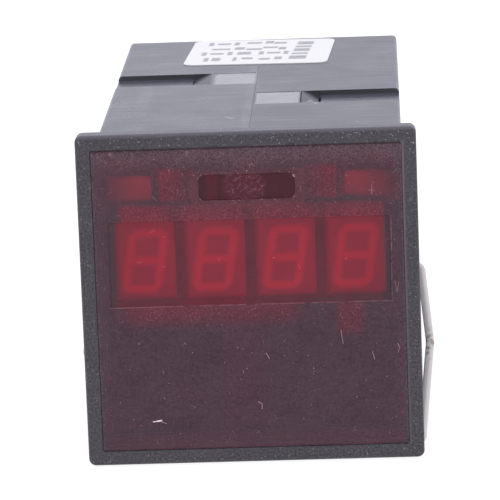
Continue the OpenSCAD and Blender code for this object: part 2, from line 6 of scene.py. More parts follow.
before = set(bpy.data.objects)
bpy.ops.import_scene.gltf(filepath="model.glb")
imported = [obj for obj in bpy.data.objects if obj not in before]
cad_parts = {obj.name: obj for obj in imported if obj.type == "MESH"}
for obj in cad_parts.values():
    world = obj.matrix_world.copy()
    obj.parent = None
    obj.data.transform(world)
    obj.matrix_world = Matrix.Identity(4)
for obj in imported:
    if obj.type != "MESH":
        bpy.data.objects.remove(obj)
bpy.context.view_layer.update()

# Circuit boards: glass-fibre laminate under green resist, with copper tracks below the resist
# and tinned pads in rows. The display board carries the digits, two boards slide between ribs
# along the case's sides, and the terminal board is soldered to the terminals' tails.


class Field:
    """A value over a surface: one output socket among a material's nodes."""

    def __init__(self, socket):
        self.socket = socket

    def node(self, kind, settings, values, output=0):
        """Adds a node: first its settings, then the values or links of its sockets."""
        tree = self.socket.id_data
        made = tree.nodes.new("ShaderNode" + kind)
        for name, setting in settings.items():
            setattr(made, name, setting)
        for name, value in values.items():
            if isinstance(value, Field):
                tree.links.new(value.socket, made.inputs[name])
            else:
                made.inputs[name].default_value = value
        return Field(made.outputs[output])

    def maths(self, operation, *others):
        return self.node("Math", {"operation": operation}, dict(enumerate((self, *others))))

    def __add__(self, other):
        return self.maths("ADD", other)

    def __sub__(self, other):
        return self.maths("SUBTRACT", other)

    def __rsub__(self, other):
        return self.node("Math", {"operation": "SUBTRACT"}, {0: other, 1: self})

    def __mul__(self, other):
        return self.maths("MULTIPLY", other)

    def __truediv__(self, other):
        return self.maths("DIVIDE", other)

    def __abs__(self):
        return self.maths("ABSOLUTE")

    __radd__ = __add__
    __rmul__ = __mul__

    def rise(self, start, end):
        """0 up to start and 1 from end on, smooth between them; end may lie below start."""
        return self.node(
            "MapRange",
            {"interpolation_type": "SMOOTHSTEP"},
            {"Value": self, "From Min": start, "From Max": end},
        )


def material(name):
    """A new material, its Principled shader, and the place on the surface in millimetres."""
    made = bpy.data.materials.new(name)
    made.use_nodes = True
    shader = made.node_tree.nodes["Principled BSDF"]
    spot = Field(made.node_tree.nodes.new("ShaderNodeTexCoord").outputs["Object"])
    return made, shader, spot.node("VectorMath", {"operation": "SCALE"}, {0: spot, "Scale": 1000})


def feed(shader, values):
    """Sets or links the sockets of a material's own shader."""
    for name, value in values.items():
        if isinstance(value, Field):
            shader.id_data.links.new(value.socket, shader.inputs[name])
        else:
            shader.inputs[name].default_value = value


def axes(place):
    split = place.node("SeparateXYZ", {}, {0: place})
    return [Field(split.socket.node.outputs[k]) for k in range(3)]


def cloud(place, lump, detail=2.0, stretch=(1, 1, 1)):
    """Cloudy noise from 0 to 1, in lumps of about that many millimetres."""
    scaled = place.node(
        "VectorMath", {"operation": "MULTIPLY"}, {0: place, 1: [s / lump for s in stretch]}
    )
    return scaled.node("TexNoise", {}, {"Vector": scaled, "Scale": 1, "Detail": detail})


def tint(share, low, high):
    """A colour that goes from low to high as share goes from 0 to 1."""
    ends = {6: low, 7: high}
    ends = {k: c if isinstance(c, Field) else (*c, 1) for k, c in ends.items()}
    return share.node("Mix", {"data_type": "RGBA"}, {0: share, **ends}, output=2)


def relief(height, depth):
    """A normal that follows a height from 0 to 1, over that depth in millimetres."""
    return height.node("Bump", {}, {"Distance": depth / 1000, "Height": height})


def dress(finish, *names):
    for name in names:
        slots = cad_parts[name].data.materials
        slots.clear()
        slots.append(finish)


PAD_PITCH = 2.54
PAD_R = 0.85
PADS_FROM_Y = 9.3
RESIST = (0.016, 0.075, 0.034)
RESIST_ON_COPPER = (0.03, 0.15, 0.06)
TIN = (0.62, 0.61, 0.57)

laminate, shader, place = material("green_laminate")
x, y, z = axes(place)
along = x + y
lane = abs((z / (PAD_PITCH / 2)).maths("FRACT") - 0.5)
tracks = lane.rise(0.24, 0.2) * cloud(place, 7, stretch=(0.4, 0.4, 1.6)).rise(0.47, 0.5)
pad_u = ((along / PAD_PITCH).maths("FRACT") - 0.5) * PAD_PITCH
pad_v = ((z / PAD_PITCH).maths("FRACT") - 0.5) * PAD_PITCH
from_pad = (pad_u * pad_u + pad_v * pad_v).maths("SQRT")
pads = from_pad.rise(PAD_R, PAD_R - 0.07) * cloud(place, 9).rise(0.53, 0.55)
pads = pads * y.rise(PADS_FROM_Y - 0.1, PADS_FROM_Y + 0.1)
feed(
    shader,
    {
        "Base Color": tint(pads, tint(tracks, RESIST, RESIST_ON_COPPER), TIN),
        "Metallic": pads,
        "Roughness": 0.42 - 0.12 * pads + 0.1 * cloud(place, 0.8),
        "Normal": relief(tracks * 0.5 + pads + 0.1 * cloud(place, 0.4), 0.05),
    },
)
dress(laminate, "display_board", "logic_board", "power_board", "terminal_board")

# Board links: two strips of black thermoplastic with a row of pins in grooves, soldered in the
# corners between the display board and the side boards.


def moulded(name, colour, roughness, grain, depth):
    """Moulded plastic: a fine-grained skin and a slightly cloudy colour."""
    made, shader, place = material(name)
    fine = cloud(place, grain, 3)
    wide = cloud(place, grain * 30)
    paler = [c * 1.35 + 0.004 for c in colour]
    feed(
        shader,
        {
            "Base Color": tint(fine * 0.5 + wide * 0.5, colour, paler),
            "Roughness": roughness - 0.08 + 0.16 * wide,
            "Normal": relief(fine, depth),
        },
    )
    return made, shader, place


LINK_BLACK = (0.014, 0.014, 0.016)
link_plastic = moulded("link_plastic", LINK_BLACK, roughness=0.5, grain=0.15, depth=0.01)[0]
dress(link_plastic, "board_links")

# Chips on the logic board: the controller in black epoxy and two couplers in ivory epoxy, each
# soldered to the board by two rows of tinned legs.

LOGIC_BOARD_X = -15
CHIP_STAND = 0.5
CONTROLLER_BLACK = (0.018, 0.018, 0.019)
COUPLER_IVORY = (0.62, 0.6, 0.53)


def fed(shader, name):
    """What already feeds a socket of a material's own shader."""
    return Field(shader.inputs[name].links[0].from_socket)


def chip_finish(name, colour, z_mid, width):
    """Matte epoxy, with tin on the legs below the body and beside it."""
    made, shader, place = moulded(name, colour, roughness=0.6, grain=0.12, depth=0.012)
    x, y, z = axes(place)
    body_x = LOGIC_BOARD_X + CHIP_STAND
    legs = x.rise(body_x + 0.02, body_x - 0.02)
    legs = legs.maths("MAXIMUM", abs(z - z_mid).rise(width / 2 + 0.01, width / 2 + 0.03))
    feed(
        shader,
        {
            "Base Color": tint(legs, fed(shader, "Base Color"), TIN),
            "Metallic": legs,
            "Roughness": fed(shader, "Roughness") - 0.3 * legs,
        },
    )
    return made


controller_epoxy = chip_finish("controller_epoxy", CONTROLLER_BLACK, z_mid=-3, width=13.5)
dress(controller_epoxy, "microcontroller")
coupler_epoxy = chip_finish("coupler_epoxy", COUPLER_IVORY, z_mid=13.25, width=6.5)
dress(coupler_epoxy, "input_couplers")

# Crystal: a drawn can of nickel-plated steel that holds the quartz the counter keeps time by.
# It lies flat beside the controller, soldered by two leads.


def bright_metal(name, colour, roughness, stretch, lump=0.25):
    """Plated or bare metal with fine lines drawn out in one direction, and dull patches."""
    made, shader, place = material(name)
    lines = cloud(place, lump, 3, stretch)
    patches = cloud(place, lump * 14)
    darker = [c * 0.78 for c in colour]
    feed(
        shader,
        {
            "Base Color": tint(0.6 * lines + 0.4 * patches, darker, colour),
            "Metallic": 1.0,
            "Roughness": roughness - 0.1 + 0.12 * lines + 0.1 * patches,
            "Normal": relief(lines, 0.006),
        },
    )
    return made, shader, place


NICKEL = (0.66, 0.64, 0.6)
nickel_can = bright_metal("nickel_can", NICKEL, roughness=0.32, stretch=(1, 0.15, 1))[0]
dress(nickel_can, "crystal")

# Output relay: contacts and coil in a case of glossy blue plastic, sealed with resin below and
# soldered to the logic board.

RELAY_BLUE = (0.02, 0.06, 0.2)
relay_case = moulded("relay_case", RELAY_BLUE, roughness=0.32, grain=0.3, depth=0.004)[0]
dress(relay_case, "output_relay")

# Transformer: a stack of varnished steel sheets on the power board, and a coil wound through it
# under lapped turns of yellow polyester tape.

SHEET_T = 0.5
SHEET_STEEL = (0.17, 0.16, 0.15)
SHEET_STAIN = (0.3, 0.26, 0.22)
SHEET_GAP = (0.03, 0.025, 0.02)
core_steel, shader, place = material("core_sheets")
x = axes(place)[0]
gap = abs((x / SHEET_T).maths("FRACT") - 0.5).rise(0.36, 0.48)
stain = cloud(place, 2.5, 4)
feed(
    shader,
    {
        "Base Color": tint(gap, tint(stain, SHEET_STEEL, SHEET_STAIN), SHEET_GAP),
        "Metallic": 0.8 - 0.6 * gap,
        "Roughness": 0.42 + 0.3 * stain,
        "Normal": relief(1 - gap, 0.06),
    },
)
dress(core_steel, "transformer_core")

TAPE_W = 2.3
TAPE_YELLOW = (0.62, 0.4, 0.05)
TAPE_LAP = (0.36, 0.2, 0.025)
tape, shader, place = material("coil_tape")
z = axes(place)[2]
turn = ((z + 0.6 * cloud(place, 8)) / TAPE_W).maths("FRACT")
lap = turn.rise(0.9, 0.98)
feed(
    shader,
    {
        "Base Color": tint(lap + 0.3 * cloud(place, 1.5), TAPE_YELLOW, TAPE_LAP),
        "Roughness": 0.3 + 0.25 * cloud(place, 0.7),
        "Normal": relief(turn, 0.04),
    },
)
dress(tape, "transformer_winding")

# Smoothing capacitors: aluminium cans on the power board, in a shrunk sleeve with one broken pale
# stripe. The bare end is scored with a cross that opens as a vent.

CAN_END_X = -1
STRIPE_FROM_Z = 14.2
STRIPE_PITCH = 3
SLEEVE_BLUE = (0.012, 0.016, 0.05)
STRIPE_PALE = (0.4, 0.42, 0.45)
BARE_ALUMINIUM = (0.7, 0.71, 0.72)
sleeve, shader, place = material("can_sleeve")
x, y, z = axes(place)
bare = x.rise(CAN_END_X + 0.6, CAN_END_X + 0.5)
dash = abs((x / STRIPE_PITCH).maths("FRACT") - 0.5).rise(0.42, 0.4)
stripe = z.rise(STRIPE_FROM_Z, STRIPE_FROM_Z + 0.3) * dash
feed(
    shader,
    {
        "Base Color": tint(bare, tint(stripe, SLEEVE_BLUE, STRIPE_PALE), BARE_ALUMINIUM),
        "Metallic": bare,
        "Roughness": 0.28 + 0.2 * cloud(place, 1.2),
        "Normal": relief(cloud(place, 2.0), 0.03),
    },
)
dress(sleeve, "smoothing_capacitors")

# Voltage regulator: black epoxy moulded round a tinned copper tab. The tab carries its heat
# away, and it is soldered flat on the power board.

TAB_FROM_Z = -7.5
EPOXY_DARK = (0.015, 0.015, 0.015)
EPOXY_PALE = (0.03, 0.03, 0.03)
epoxy, shader, place = material("regulator_epoxy")
tab = axes(place)[2].rise(TAB_FROM_Z - 0.02, TAB_FROM_Z + 0.02)
feed(
    shader,
    {
        "Base Color": tint(tab, tint(cloud(place, 0.2), EPOXY_DARK, EPOXY_PALE), TIN),
        "Metallic": tab,
        "Roughness": 0.62 - 0.3 * tab + 0.1 * cloud(place, 1.1),
        "Normal": relief(cloud(place, 0.15, 3), 0.012),
    },
)
dress(epoxy, "voltage_regulator")

# Digit modules: four blocks of red-dyed epoxy on the display board, with the seven segments of a
# figure eight in each face. None is lit: the segments show as paler red, blurred at their edges.

DIGIT_PITCH = 10
DIGIT_Z = 4.95
DIGIT_W = 8.6
DIGIT_H = 11.5
FIGURE_Z = 4.76
FIGURE_R = 0.9
FIGURE_LEAN = tan(radians(9))
SEGMENT_OUTER = 1.0
SEGMENT_INNER = 0.1
RIM_SHIFT = 0.2
BAR_X = 2.25
BAR_Z = 4.05
MODULE_RED = (0.264, 0.012, 0.085)
MODULE_EDGE = (0.07, 0.008, 0.02)
SEGMENT_RED = (0.505, 0.012, 0.095)
SEGMENT_FOOT_LIT = (0.58, 0.014, 0.1)


def past_digit(x):
    """How far a place lies to the right of its own digit's middle."""
    return (x + 2 * DIGIT_PITCH).maths("FLOORED_MODULO", DIGIT_PITCH) - DIGIT_PITCH / 2


digit_epoxy, shader, place = material("digit_epoxy")
x, y, z = axes(place)
across = past_digit(x)
up = z - FIGURE_Z
side = abs(across - up * FIGURE_LEAN)
height = abs(up)
past_side = side - (BAR_X - FIGURE_R)
past_end = height - (BAR_Z - FIGURE_R)
inner = past_side.maths("MAXIMUM", past_end).maths("MINIMUM", 0)
past_side = past_side.maths("MAXIMUM", 0)
past_end = past_end.maths("MAXIMUM", 0)
outline = abs((past_side * past_side + past_end * past_end).maths("SQRT") + inner - FIGURE_R)
past_side = (side - BAR_X).maths("MAXIMUM", 0)
crossbar = (height * height + past_side * past_side).maths("SQRT")
figure = outline.maths("MINIMUM", crossbar).rise(SEGMENT_OUTER, SEGMENT_INNER)
# painted light: the segments are painted brighter red towards the foot of the figure
segment = tint(up.rise(-2.5, -4.2), SEGMENT_RED, SEGMENT_FOOT_LIT)
rim = abs(across - RIM_SHIFT).rise(DIGIT_W / 2 - 0.8, DIGIT_W / 2 + 0.3)
rim = rim.maths("MAXIMUM", abs(z - DIGIT_Z).rise(DIGIT_H / 2 - 0.6, DIGIT_H / 2 + 0.3))
feed(
    shader,
    {
        "Base Color": tint(figure, tint(rim, MODULE_RED, MODULE_EDGE), segment),
        "Roughness": 0.45 + 0.2 * cloud(place, 1.5),
        "Normal": relief(cloud(place, 0.3), 0.01),
        "Specular IOR Level": 0.3,
    },
)
for k in range(1, 5):
    dress(digit_epoxy, f"digit_{k}", f"digit_{k}_segments")

# Signal lamps: two rounded blocks of diffusing red epoxy on the display board, paler towards
# the top and the middle of the counter, where the chip sits, and darker at the rim.

LAMP_X = 16.85
LAMP_Z = 15.3
RIGHT_CHIP_SHIFT = 0.8
LAMP_PALE = (0.63, 0.02, 0.04)
LAMP_DIM = (0.25, 0.014, 0.022)
LAMP_RIM = (0.1, 0.008, 0.012)
lamp_epoxy, shader, place = material("lamp_epoxy")
x, y, z = axes(place)
inward = (abs(x) + RIGHT_CHIP_SHIFT * x.rise(-1, 1)).rise(LAMP_X + 2.5, LAMP_X - 1.5)
inward = inward * (0.7 + 0.3 * (z - LAMP_Z).rise(-1.8, 1.0))
rim = (abs(x) - LAMP_X).rise(2.0, 3.3).maths("MAXIMUM", (LAMP_X - abs(x)).rise(2.75, 3.35))
rim = rim.maths("MAXIMUM", abs(z - LAMP_Z).rise(1.2, 2.0))
feed(
    shader,
    {
        "Base Color": tint(rim * 0.8, tint(inward, LAMP_DIM, LAMP_PALE), LAMP_RIM),
        "Roughness": 0.4 + 0.2 * cloud(place, 1.5),
        "Normal": relief(cloud(place, 0.4), 0.01),
        "Specular IOR Level": 0.3,
    },
)
dress(lamp_epoxy, "lamp_left", "lamp_right")

# Display mask: a dark card laid in the frame's opening behind the window, open at the digits and
# the lamps. Behind the clear field it is printed brown, with a strip of red near its left end.

PRINT_HALF_W = 8.4
PRINT_FOOT_Z = 12.2
STRIP_LEFT = -5.85
STRIP_RIGHT = -4.15
STRIP_FOOT_Z = 13.4
STRIP_SOFT = 0.3
CARD_DARK = (0.006, 0.004, 0.004)
CARD_PALE = (0.014, 0.009, 0.009)
CARD_BROWN = (0.1, 0.034, 0.02)
CARD_RED = (0.16, 0.02, 0.012)
card, shader, place = material("mask_card")
x, y, z = axes(place)
printed = abs(x).rise(PRINT_HALF_W, PRINT_HALF_W - 0.6) * z.rise(PRINT_FOOT_Z, PRINT_FOOT_Z + 0.6)
strip = x.rise(STRIP_LEFT, STRIP_LEFT + STRIP_SOFT) * x.rise(STRIP_RIGHT, STRIP_RIGHT - STRIP_SOFT)
strip = strip * z.rise(STRIP_FOOT_Z, STRIP_FOOT_Z + STRIP_SOFT)
card_colour = tint(cloud(place, 0.4), CARD_DARK, CARD_PALE)
feed(
    shader,
    {
        "Base Color": tint(strip, tint(printed, card_colour, CARD_BROWN), CARD_RED),
        "Roughness": 0.8 + 0.1 * cloud(place, 0.8),
        "Normal": relief(cloud(place, 0.25), 0.02),
    },
)
dress(card, "display_mask")

# Front window: red acrylic, frosted on its face, in the frame's pocket with the mask behind it. The
# display field is blasted less, and the field at the top is left clear and has been rubbed. Dust
# greys the sides and the top, and specks, hairs and scratches lie over all of it. A red glow is
# painted into the frost's colour round the digits and the lamps, a painted shadow darkens its top
# edge, and painted light lifts its outermost side edges.

WINDOW_MIDDLE_Y = -1.8
DISPLAY_MIDDLE = (0, 5.25)
DISPLAY_HALF = (19.9, 6.15)
FIELD_MIDDLE = (0, 16.1)
FIELD_HALF = (6.8, 1.85)
FIELD_R = 1.0
RUBBED_MIDDLE = (-0.4, 16.1)
RUBBED_HALF = (3.0, 1.9)
STEP_LEFT = (-19.9, -0.95)
STEP_RIGHT = (20.0, -0.95)
STEP_TOP = (20.15, 11.3)
FROST_SHARE = 0.40
DISPLAY_LESS = 0.11
FIELD_LESS = 0.2
FROST = (0.119, 0.0855, 0.1055)
DISPLAY_FROST = (0.11, 0.14, 0.155)
SIDE_FROST = (0.12, 0.106, 0.121)
CLEAR_FROST = (0.106, 0.089, 0.119)
PAINTED_GLOW_RED = (0.46, 0.063, 0.1)
DUST_FINE = (0.92, 0.49, 0.56)
DUST_OVER_RED = (1.0, 0.217, 0.3)
DUST_THICK = (0.82, 0.7, 0.72)
RED_TINT = (0.94, 0.04, 0.3, 1)


def inside(x, z, middle, half, soft, corner=0):
    """1 within a rectangle with round corners, fading to 0 over its edge."""
    corner = max(corner, soft / 2)
    dx = (abs(x - middle[0]) - (half[0] - corner)).maths("MAXIMUM", 0)
    dz = (abs(z - middle[1]) - (half[1] - corner)).maths("MAXIMUM", 0)
    return (dx * dx + dz * dz).maths("SQRT").rise(corner + soft / 2, corner - soft / 2)


def specks(place, spacing, size, share):
    """Scattered specks: 1 on each, at most one in each cell of that spacing, in millimetres."""
    cell = place.node("TexVoronoi", {}, {"Vector": place, "Scale": 1 / spacing})
    chance = axes(Field(cell.socket.node.outputs["Color"]))[0]
    return (cell * spacing).rise(size, size * 0.4) * chance.rise(share, share - 0.01)


def hairs(place, lump, width, share):
    """Short curled hairs and hairline scratches, along the contours of a noise."""
    line = abs(cloud(place, lump, 1) - 0.5).rise(width, width * 0.3)
    return line * cloud(place, lump * 0.8, 1, (1.3, 1, 0.8)).rise(1 - share, 1.03 - share)


def stroke(x, z, start, end, width):
    """A straight scratch between two points, fading over its width to each side."""
    run = [b - a for a, b in zip(start, end)]
    square = run[0] * run[0] + run[1] * run[1]
    dx = x - start[0]
    dz = z - start[1]
    share = (dx * run[0] + dz * run[1]) / square
    share = share.node("Clamp", {}, {0: share})
    dx = dx - share * run[0]
    dz = dz - share * run[1]
    return (dx * dx + dz * dz).maths("SQRT").rise(width, width * 0.3)


def cover(finish, share, below, above):
    """Ends a material in two shaders: the one above hides that share of the one below."""
    both = share.node("MixShader", {}, {0: share, 1: below, 2: above})
    tree = finish.node_tree
    tree.links.new(both.socket, tree.nodes["Material Output"].inputs["Surface"])


acrylic, shader, place = material("window_acrylic")
x, y, z = axes(place)
display = inside(x, z, DISPLAY_MIDDLE, DISPLAY_HALF, 0.2)
clear = inside(x, z, FIELD_MIDDLE, FIELD_HALF, 0.12, FIELD_R)
front = y.rise(WINDOW_MIDDLE_Y + 0.1, WINDOW_MIDDLE_Y - 0.1)
right = x.rise(-1, 1)
sides = abs(x).rise(20.9, 21.5) * z.rise(21.6, 20.6)
grain = cloud(place, 0.18, 3)
blotch = cloud(place, 4, 4)

# painted glow: red light as the frosting would scatter it, painted into its colour at the cut
# edges, over the display, above it and below it
edge = 1 - inside(x, z, (0, 0), (20.3, 19.8), 1.2)
column = abs(past_digit(x)).rise(4.8, 3.4)
lit = x.rise(-19.4, -18.2) * x.rise(19.3, 18.3)
lit = lit * (1 - 0.6 * x.rise(7.5, 9.5) * z.rise(0.6, -0.6))
above = (z + 0.01 * x).rise(13.95, 13.3) * (0.7 + 0.35 * z.rise(13.2, 11.6))
above = above + (z.rise(14.6, 11.8) - above) * abs(x).rise(9, 7)
above = above * inside(x, z, (0.6, 8), (18.6, 7), 1.4) * (1 - display)
below = inside(x, z, (-5.7, -1), (12.4, 2.3), 3.4) * (1 - display)
painted_glow = 0.03 + 0.055 * edge + display * (0.24 + lit * (0.44 - 0.04 * column))
painted_glow = painted_glow + inside(x, z, (-5, -0.2), (4.1, 0.8), 0.8) * display * 0.22
painted_glow = painted_glow + above * (0.38 + 0.2 * column)
painted_glow = painted_glow + inside(x, z, (-15.2, 12.5), (3.0, 1.5), 1.6) * (1 - display) * 0.1
painted_glow = painted_glow + inside(x, z, (0, 5), (20.6, 8.2), 2) * (1 - display) * 0.04
painted_glow = painted_glow + below * (0.35 + 0.09 * abs(x + 11).rise(7, 2))
painted_glow = painted_glow + inside(x, z, (13.95, -3.1), (1.75, 2.3), 1.8) * 0.35
painted_glow = painted_glow + inside(x, z, (-1.4, -10.5), (2.8, 8.5), 2.2) * 0.05

# more painted red glow beside the clear field, round the lamps and along the top
beside = inside(x, z, (0.12, 16.6), (12.6, 2.3), 1.0) * abs(x).rise(6.6, 7.4)
painted_glow = painted_glow + beside * (0.08 + 0.05 * x.rise(2, -2) + 0.36 * abs(x).rise(7.2, 12.0))
painted_glow = painted_glow + inside(abs(x), z, (18.6, 15.6), (3.2, 1.8), 1.4) * (0.06 + 0.12 * right)
painted_glow = painted_glow + inside(abs(x), z, (13.55, 16.1), (0.45, 1.8), 0.5) * (0.12 + 0.14 * right)
painted_glow = painted_glow + inside(x, z, (0, 17), (21, 4), 3) * 0.06
painted_glow = painted_glow + inside(x, z, (0, 19), (20.6, 1.4), 1.6) * abs(x).rise(7, 13) * 0.1
painted_glow = painted_glow * (1 - clear) * (1 - 0.5 * sides) * (0.85 + 0.3 * blotch)

# dust: fine and coarse specks, hairs, scuffs in the rubbed part, and the rim of the clear field
rubbed_and_lit = inside(x, z, RUBBED_MIDDLE, RUBBED_HALF, 0.8, 1.8) * clear
scuffs = hairs(place, 0.9, 0.03, 0.56) * rubbed_and_lit
upper = 0.3 + 0.3 * z.rise(8, 12) + 0.6 * z.rise(17, 19) + 0.2 * display
upper = upper * (1 - 0.7 * clear)
dust = specks(place, 0.45, 0.1, 0.5) * 0.1 * upper
dust = dust.maths("MAXIMUM", specks(place, 1.1, 0.13, 0.3) * 0.26 * upper)
dust = dust.maths("MAXIMUM", hairs(place, 1.7, 0.014, 0.4) * 0.15 * upper)
dust = dust.maths("MAXIMUM", scuffs * 0.135)
rim_dust = inside(x, z, FIELD_MIDDLE, [h + 0.15 for h in FIELD_HALF], 0.12, FIELD_R)
rim_dust = rim_dust - inside(x, z, FIELD_MIDDLE, [h - 0.1 for h in FIELD_HALF], 0.12, FIELD_R)
dust = dust.maths("MAXIMUM", rim_dust * cloud(place, 0.5, 3).rise(0.56, 0.75) * 0.18)

# single scratches, hairs and grains: two ends, reach to each side, strength
marks = (
    ((-14.55, -17.72), (-13.4, -17.58), 0.1, 1.0),
    ((-13.9, -17.64), (-13.4, -17.57), 0.16, 1.0),
    ((-13.35, -17.6), (-13.2, -17.85), 0.08, 0.4),
    ((-13.2, -17.85), (-12.7, -18.02), 0.08, 0.2),
    ((12.6, -5.0), (12.85, -7.0), 0.07, 0.24),
    ((0.53, -15.2), (1.05, -15.5), 0.08, 0.27),
    ((1.05, -15.5), (1.06, -16.2), 0.08, 0.27),
    ((1.92, -8.1), (2.32, -8.9), 0.07, 0.27),
    ((17.0, -8.3), (17.25, -9.4), 0.07, 0.27),
    ((20.6, -7.2), (20.87, -7.9), 0.08, 0.27),
    ((20.87, -7.9), (20.6, -8.5), 0.08, 0.2),
    ((6.55, 17.55), (6.72, 17.3), 0.11, 0.6),
    ((20.45, 1.9), (20.7, 0.2), 0.07, 0.15),
    ((20.7, 0.2), (20.98, 1.7), 0.07, 0.15),
    ((-13.9, 9.85), (-13.2, 10.25), 0.08, 0.28),
    ((17.6, 15.8), (17.55, 14.55), 0.07, 0.28),
    ((17.1, 15.1), (18.0, 15.0), 0.07, 0.2),
    ((-12.1, 9.1), (-11.7, 9.3), 0.08, 0.28),
    ((-15.8, 5.55), (-15.3, 5.6), 0.1, 0.28),
    ((-12.35, 4.9), (-12.0, 4.85), 0.1, 0.28),
    ((-4.3, 5.8), (-4.2, 5.55), 0.1, 0.28),
    ((3.35, 5.75), (3.5, 5.7), 0.1, 0.32),
    ((6.95, 4.6), (7.15, 4.0), 0.08, 0.24),
    ((13.55, 5.3), (13.65, 5.25), 0.1, 0.4),
)
for start, end, width, strength in marks:
    dust = dust.maths("MAXIMUM", stroke(x, z, start, end, width) * strength)
step_dust = stroke(x, z, STEP_LEFT, STEP_RIGHT, 0.11)
step_dust = step_dust.maths("MAXIMUM", stroke(x, z, STEP_RIGHT, STEP_TOP, 0.1) * 0.6)
dust = dust.maths("MAXIMUM", step_dust * cloud(place, 1.4, 3).rise(0.25, 0.6) * 0.2)

# the share of what lies behind that frosting and dust hide, and the colour that they show
share = FROST_SHARE - DISPLAY_LESS * display - FIELD_LESS * clear + 0.045 * rubbed_and_lit
share = share * (1 + 0.05 * edge)
share = share * (1 + 0.2 * z.rise(18.4, 21))
share = share * (1 + 0.3 * (blotch - 0.5))
share = share.maths("MAXIMUM", dust)
greyed = sides.maths("MAXIMUM", 0.6 * z.rise(18.2, 19.8))
frost = tint(display, tint(greyed, FROST, SIDE_FROST), DISPLAY_FROST)
frost = tint(clear, frost, CLEAR_FROST)
frost = tint(painted_glow + 0.24 * rubbed_and_lit, frost, PAINTED_GLOW_RED)
lamps = inside(abs(x), z, (LAMP_X, LAMP_Z), (3.4, 2.1), 0.8)
contrast = 0.74 * (1 - 0.6 * display) * (1 - clear)
contrast = contrast * (1 - 0.2 * painted_glow.rise(0.1, 0.5)) * (1 - 0.6 * lamps)
grained = 1 + contrast * (grain.rise(0.3, 0.7) - 0.5)
# painted shadow: the frost darkens along the top edge, under the frame's lip
grained = grained * (1 - 0.6 * z.rise(21.5, 21.7))
# painted light: the frost is lifted along the outermost side edges, against the shade of the
# frame's ledge
grained = grained * (1 + 0.3 * sides * abs(x).rise(21.5, 21.75))
frost = frost.node("VectorMath", {"operation": "SCALE"}, {0: frost, "Scale": grained})
fallen = tint(dust.rise(0.4, 0.9), tint(display, DUST_FINE, DUST_OVER_RED), DUST_THICK)
feed(
    shader,
    {
        "Base Color": tint(dust / share, frost, fallen),
        "Roughness": 0.55 - 0.35 * clear + 0.1 * grain,
        "Normal": relief(grain * (1 - clear), 0.012),
    },
)

# behind the frosting the face filters red, and the rear face lets all light through
clear_face = place.node("BsdfTransparent", {}, {})
red_face = place.node("BsdfTransparent", {}, {"Color": RED_TINT})
see_through = front.node("MixShader", {}, {0: front, 1: clear_face, 2: red_face})
cover(acrylic, share * front, see_through, Field(shader.outputs[0]))
dress(acrylic, "front_window")

# Front frame: one moulding of dark grey plastic with a fine spark-eroded grain and four snap
# tongues behind it. Pale dust lies in the grain, and the front's top edge and the inner edge on
# the right carry painted highlights.

FRAME_HALF = 24
FRAME_FRONT_Y = -3
POCKET_HALF = 21.7
INNER_EDGE_X = 21.92
FRAME_GREY = (0.0288, 0.0247, 0.0308)
TOP_EDGE_HIGHLIGHT = (0.1, 0.092, 0.1)
INNER_EDGE_HIGHLIGHT = (0.105, 0.086, 0.092)
GREY_DUST = (0.42, 0.4, 0.4)


def case_plastic(name, grey, roughness, dust_share, streak, edge_r):
    """Grained dark plastic with dust in the grain, softened edges and paler worn corners."""
    made, shader, place = material(name)
    fine = cloud(place, 0.3, 4)
    wide = cloud(place, 6, 3)
    streaks = cloud(place, 0.6, 2, (0.05, 1, 1))
    soft = place.node("Bevel", {"samples": 4}, {"Radius": edge_r / 1000})
    sharp = place.node("NewGeometry", {}, {}, "Normal")
    turned = soft.node("VectorMath", {"operation": "DOT_PRODUCT"}, {0: soft, 1: sharp}, output=1)
    worn = turned.rise(0.985, 0.85) * cloud(place, 1.2).rise(0.35, 0.7)
    dust = specks(place, 0.5, 0.11, dust_share).maths("MAXIMUM", hairs(place, 1.6, 0.01, 0.34))
    dust = dust * (0.32 + 0.3 * axes(place)[2].rise(18, 22.5))
    hollow = [0, 0, 0]
    tip = [c * 2.45 for c in grey]
    worn_grey = [c * 2.4 + 0.02 for c in grey]
    skin = tint(fine.rise(0.3, 0.7) * 0.7 + wide * 0.3, hollow, tip)
    skin = tint(worn * 0.6, skin, worn_grey)
    grain_depth = 0.01
    grained = fine.node(
        "Bump",
        {},
        {"Distance": grain_depth / 1000, "Height": fine + streak * streaks, "Normal": soft},
    )
    uneven = 0.12 * (fine - 0.5) + 0.14 * (wide - 0.5) + 0.04 * streak * (streaks - 0.5)
    feed(
        shader,
        {
            "Base Color": tint(dust, skin, GREY_DUST),
            "Roughness": roughness + uneven,
            "Normal": grained,
        },
    )
    return made, shader, place


rim_plastic, shader, place = case_plastic(
    "frame_plastic", FRAME_GREY, roughness=0.34, dust_share=0.62, streak=0, edge_r=0.55
)
x, y, z = axes(place)
# painted highlight along the top edge of the front, where the rounded edge catches the light
top_edge_highlight = z.rise(FRAME_HALF - 0.65, FRAME_HALF - 0.05) * 0.9
top_edge_highlight = top_edge_highlight * y.rise(FRAME_FRONT_Y + 0.6, FRAME_FRONT_Y + 0.2)
# painted highlight along the inner edge of the opening on the right, stronger towards the top
inner_edge_highlight = stroke(x, z, (INNER_EDGE_X, -POCKET_HALF), (INNER_EDGE_X, POCKET_HALF), 0.36)
inner_edge_highlight = inner_edge_highlight * (0.45 + 0.55 * z.rise(-18, 18))
skin = tint(top_edge_highlight, fed(shader, "Base Color"), TOP_EDGE_HIGHLIGHT)
feed(shader, {"Base Color": tint(inner_edge_highlight, skin, INNER_EDGE_HIGHLIGHT)})
dress(rim_plastic, "front_frame")

# Case: two half shells from one mould, snapped together along the seam. The walls carry the
# frame's grain, and the flat pads beside the seam are smooth and paler. The roof is rubbed and
# scratched. Painted light lifts the channels' walls and floors, painted shade darkens the crease
# at the top of each ramp, and a painted shadow darkens the deep ends of the ramps.

